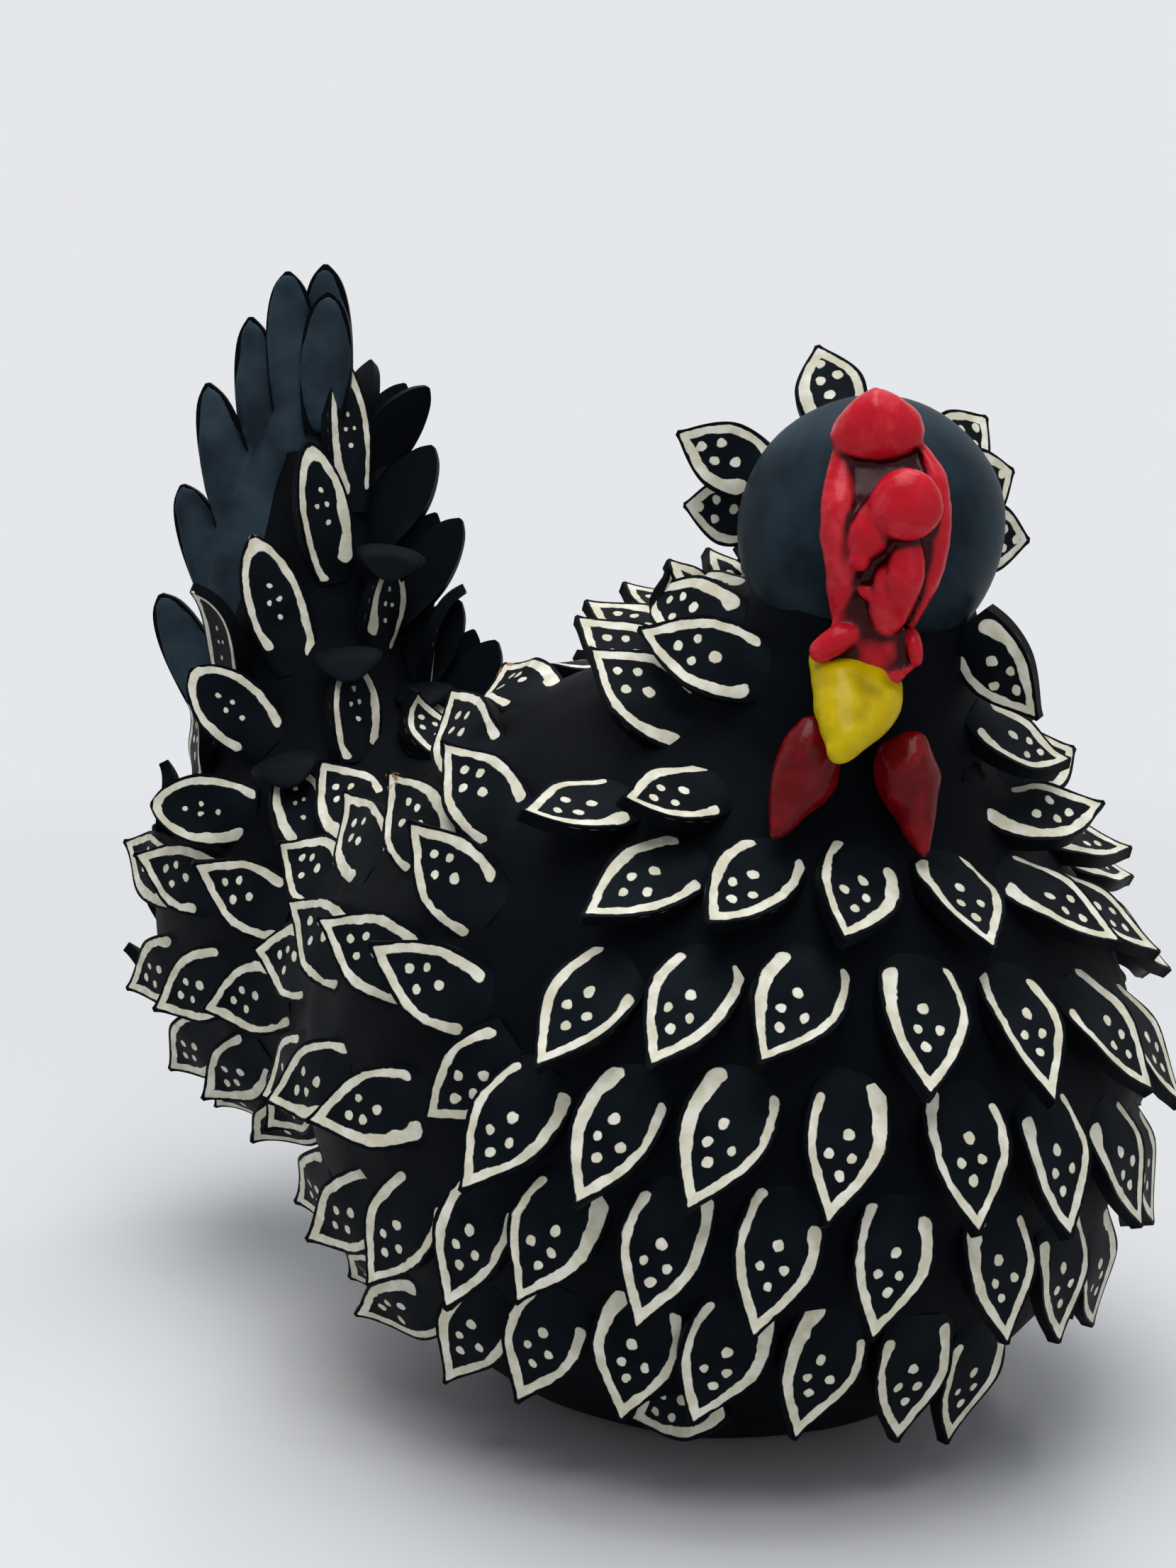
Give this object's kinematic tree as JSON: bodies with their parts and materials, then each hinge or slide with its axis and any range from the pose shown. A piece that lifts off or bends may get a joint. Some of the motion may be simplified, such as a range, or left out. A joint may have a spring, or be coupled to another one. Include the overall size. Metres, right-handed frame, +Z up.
{
  "type": "hen figurine",
  "caption": "Squat hand-built clay hen ornament covered with leaf-shaped feathers, with an upright tail plume, red comb and wattles, and a yellow beak.",
  "frame": {"origin": "centre of the box of the whole hen, on the surface that it stands on", "axes": "the hen faces -Y, its left side is +X, +Z is up"},
  "size_m": [0.1198, 0.1846, 0.1574],
  "materials": {
    "body_black": "matt black paint on fired clay",
    "head_black": "smoothed matt black paint on fired clay",
    "feather_black": "satin black paint with a cream edge line and four cream dots",
    "comb_red": "glossy red",
    "wattle_red": "glossy dark red",
    "beak_yellow": "glossy yellow"
  },
  "bodies": {
    "root": {"beak": "beak_yellow", "body": "body_black", "breast_course_1": "feather_black", "breast_course_2": "feather_black", "breast_course_3": "feather_black", "breast_course_4": "feather_black", "breast_course_5": "feather_black", "collar_course_left": "feather_black", "collar_course_right": "feather_black", "comb": "comb_red", "crown_feather_1": "feather_black", "crown_feather_2": "feather_black", "crown_feather_3": "feather_black", "crown_feather_4": "feather_black", "crown_feather_5": "feather_black", "crown_feather_6": "feather_black", "flank_course_1": "feather_black", "flank_course_2": "feather_black", "flank_course_3": "feather_black", "flank_course_left": "feather_black", "flank_course_right": "feather_black", "head": "head_black", "neck_course_1": "feather_black", "neck_course_2": "feather_black", "rear_course_1": "feather_black", "rear_course_2": "feather_black", "rear_course_3": "feather_black", "rear_course_4": "feather_black", "rump_course_1": "feather_black", "rump_course_2": "feather_black", "rump_course_3": "feather_black", "tail_blade_1": "feather_black", "tail_blade_2": "feather_black", "tail_blade_3": "feather_black", "tail_blade_4": "feather_black", "tail_blade_5": "feather_black", "tail_blade_6": "feather_black", "tail_blade_7": "feather_black", "tail_course_1": "feather_black", "tail_course_2": "feather_black", "tail_course_3": "feather_black", "tail_course_4": "feather_black", "tail_course_5": "feather_black", "wattle_left": "wattle_red", "wattle_right": "wattle_red"}
  },
  "joints": []
}
